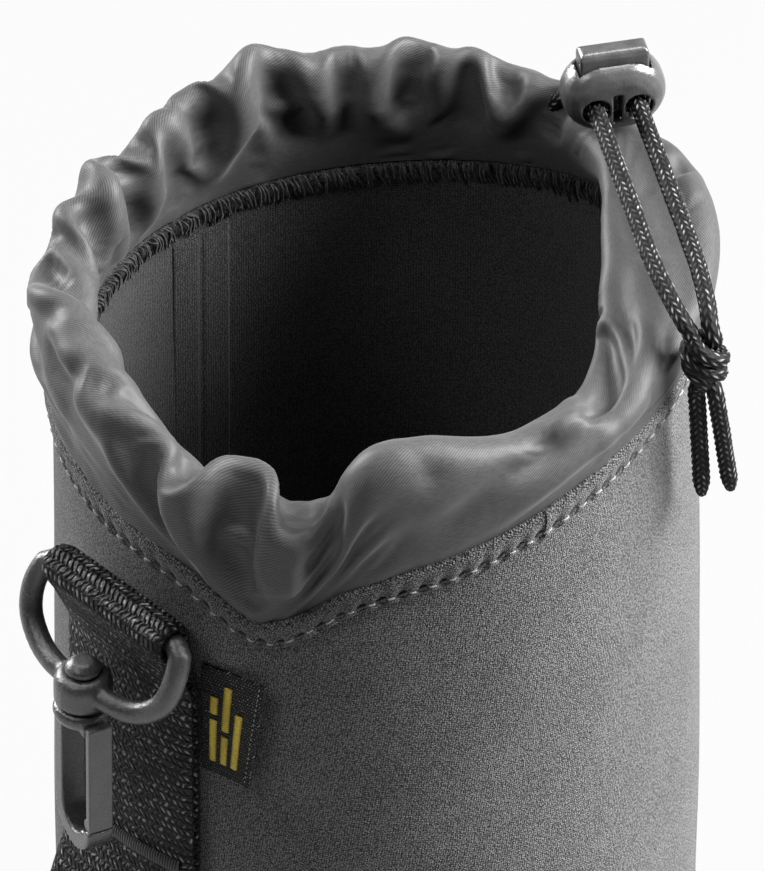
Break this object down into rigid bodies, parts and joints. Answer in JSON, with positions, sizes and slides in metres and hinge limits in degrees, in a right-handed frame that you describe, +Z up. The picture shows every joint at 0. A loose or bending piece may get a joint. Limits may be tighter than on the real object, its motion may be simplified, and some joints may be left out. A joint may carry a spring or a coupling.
{
  "type": "drawstring lens pouch",
  "caption": "Padded round drawstring pouch for a camera lens, with a gathered nylon collar, a cord lock, and a webbing strap with a belt loop and a plastic swivel snap hook.",
  "frame": {"origin": "middle of the base's underside", "axes": "+Z up along the tube, -Y towards the strap and hook, +Y towards the cord's exit"},
  "size_m": [0.1201, 0.1328, 0.2224],
  "materials": {
    "neoprene": "heathered dark grey jersey over foam",
    "knit_band": "heathered dark grey jersey with pale top stitching",
    "seam_tape": "plain knit tape",
    "thread": "overlocked sewing thread",
    "nylon": "satin dark grey woven nylon",
    "cord_braid": "braided black cord with pale flecks",
    "webbing": "coarse black webbing",
    "label": "black woven label with yellow woven bars",
    "plastic": "satin moulded dark grey plastic",
    "spring_wire": "bright spring wire"
  },
  "bodies": {
    "pouch": {"body_wall": "neoprene", "side_seam_tape": "seam_tape", "base_disc": "neoprene", "base_overlock": "thread", "rim_band": "knit_band", "rim_overlock": "thread", "collar": "nylon", "casing_cord": "cord_braid", "strand_left": "cord_braid", "strand_right": "cord_braid", "cord_knot": "cord_braid", "tail_left": "cord_braid", "tail_right": "cord_braid", "strap": "webbing", "belt_bartack_top": "thread", "belt_bartack_bottom": "thread", "woven_label": "label"},
    "eye": {"swivel_eye": "plastic"},
    "hook": {"snap_hook": "plastic"},
    "gate": {"hook_gate": "plastic"},
    "lock": {"lock_barrel": "plastic", "lock_spring": "spring_wire"},
    "button": {"lock_button": "plastic"}
  },
  "joints": [
    {"name": "eye_swing", "type": "hinge", "parent": "pouch", "child": "eye", "pos_m": [0, -0.05925, 0.16], "axis": [-1, 0, 0], "range_deg": [0, 140]},
    {"name": "hook_swivel", "type": "hinge", "parent": "eye", "child": "hook", "pos_m": [0, -0.0665, 0.1461], "axis": [0, 0, 1], "continuous": true},
    {"name": "gate_flex", "type": "hinge", "parent": "hook", "child": "gate", "pos_m": [0.00602, -0.06834, 0.139], "axis": [0.2924, 0.9563, 0], "range_deg": [0, 22], "stiffness_Nm_per_rad": 0.05},
    {"name": "lock_slide", "type": "slide", "parent": "pouch", "child": "lock", "axis": [0.8721, -0.4894, 0], "range_m": [0, 0.03]},
    {"name": "lock_press", "type": "slide", "parent": "lock", "child": "button", "axis": [0, 0, -1], "range_m": [0, 0.0015], "stiffness_N_per_m": 2000, "deforming": ["lock_spring"]}
  ]
}
